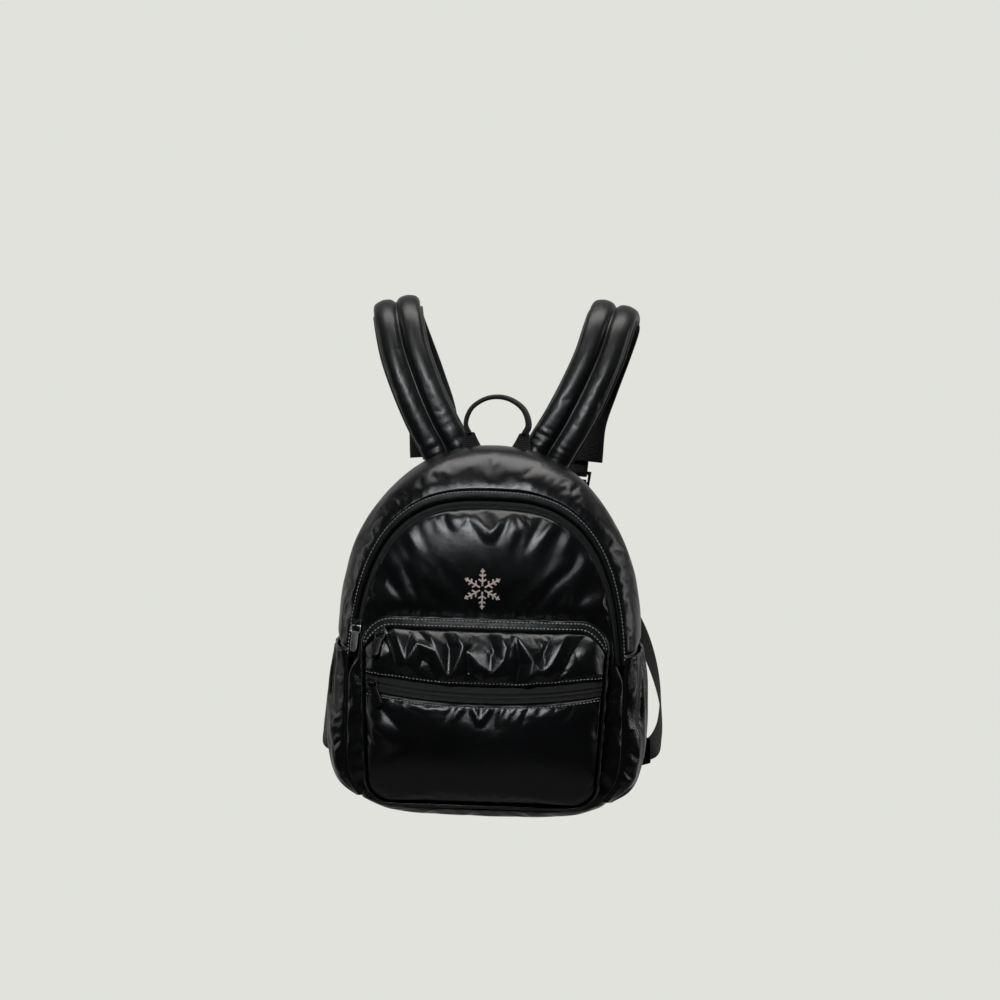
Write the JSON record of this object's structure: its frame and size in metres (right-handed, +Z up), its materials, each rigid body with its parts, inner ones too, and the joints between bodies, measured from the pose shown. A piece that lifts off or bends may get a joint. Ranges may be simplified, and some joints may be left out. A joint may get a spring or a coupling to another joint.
{
  "type": "quilted puffer backpack",
  "caption": "Child's quilted puffer backpack with an arched zip, a zipped front pocket, side slip pockets, a carry handle and padded shoulder straps, held up as worn.",
  "frame": {"origin": "midway between the undersides of the two strap crests, where the wearer's shoulders carry the bag", "axes": "+X to the right seen from the front of the bag, +Y towards the wearer, +Z up"},
  "size_m": [0.3132, 0.2854, 0.4658],
  "materials": {
    "puffer": "glossy coated nylon over padding",
    "lining": "matte mesh and lining cloth",
    "zip_tape": "matte zip tape and coil",
    "webbing": "matte woven webbing",
    "hardware": "glossy black zip sliders and pulls",
    "plastic": "matte black ladder locks"
  },
  "bodies": {
    "root": {"back_panel": "lining", "strap_backing_left": "lining", "strap_backing_right": "lining", "top_gusset": "puffer", "base_panel": "puffer", "front_panel": "puffer", "main_zip_flap": "puffer", "pocket_flap": "puffer", "pocket_gusset": "puffer", "pocket_upper_panel": "puffer", "pocket_lower_panel": "puffer", "side_panel_left": "puffer", "side_panel_right": "puffer", "side_pocket_left": "puffer", "side_pocket_right": "puffer", "strap_pad_left": "puffer", "strap_pad_right": "puffer", "strap_wing_left": "puffer", "strap_wing_right": "puffer", "main_zip": "zip_tape", "pocket_zip": "zip_tape", "lower_zip": "zip_tape", "carry_handle": "webbing", "handle_tab_left": "webbing", "handle_tab_right": "webbing", "strap_keeper_left": "webbing", "strap_keeper_right": "webbing", "strap_loop_left": "webbing", "strap_loop_right": "webbing", "strap_webbing_left": "webbing", "strap_webbing_right": "webbing", "main_zip_slider": "hardware", "pocket_zip_slider": "hardware", "lower_zip_slider": "hardware", "strap_lock_left": "plastic", "strap_lock_right": "plastic"},
    "main_zip_pull": {"main_zip_pull": "hardware"},
    "pocket_zip_pull": {"pocket_zip_pull": "hardware"},
    "lower_zip_pull": {"lower_zip_pull": "hardware"}
  },
  "joints": [
    {"name": "main_zip_pull_hinge", "type": "hinge", "parent": "root", "child": "main_zip_pull", "pos_m": [-0.11577, -0.16119, -0.28155], "axis": [-0.9518, 0.3009, 0.0589], "range_deg": [0, 150]},
    {"name": "pocket_zip_pull_hinge", "type": "hinge", "parent": "root", "child": "pocket_zip_pull", "pos_m": [-0.09181, -0.18333, -0.28596], "axis": [-0.9561, 0.2931, -0.0009], "range_deg": [0, 140]},
    {"name": "lower_zip_pull_hinge", "type": "hinge", "parent": "root", "child": "lower_zip_pull", "pos_m": [-0.09831, -0.18864, -0.3299], "axis": [-0.8069, 0.3112, -0.5021], "range_deg": [0, 140]}
  ]
}
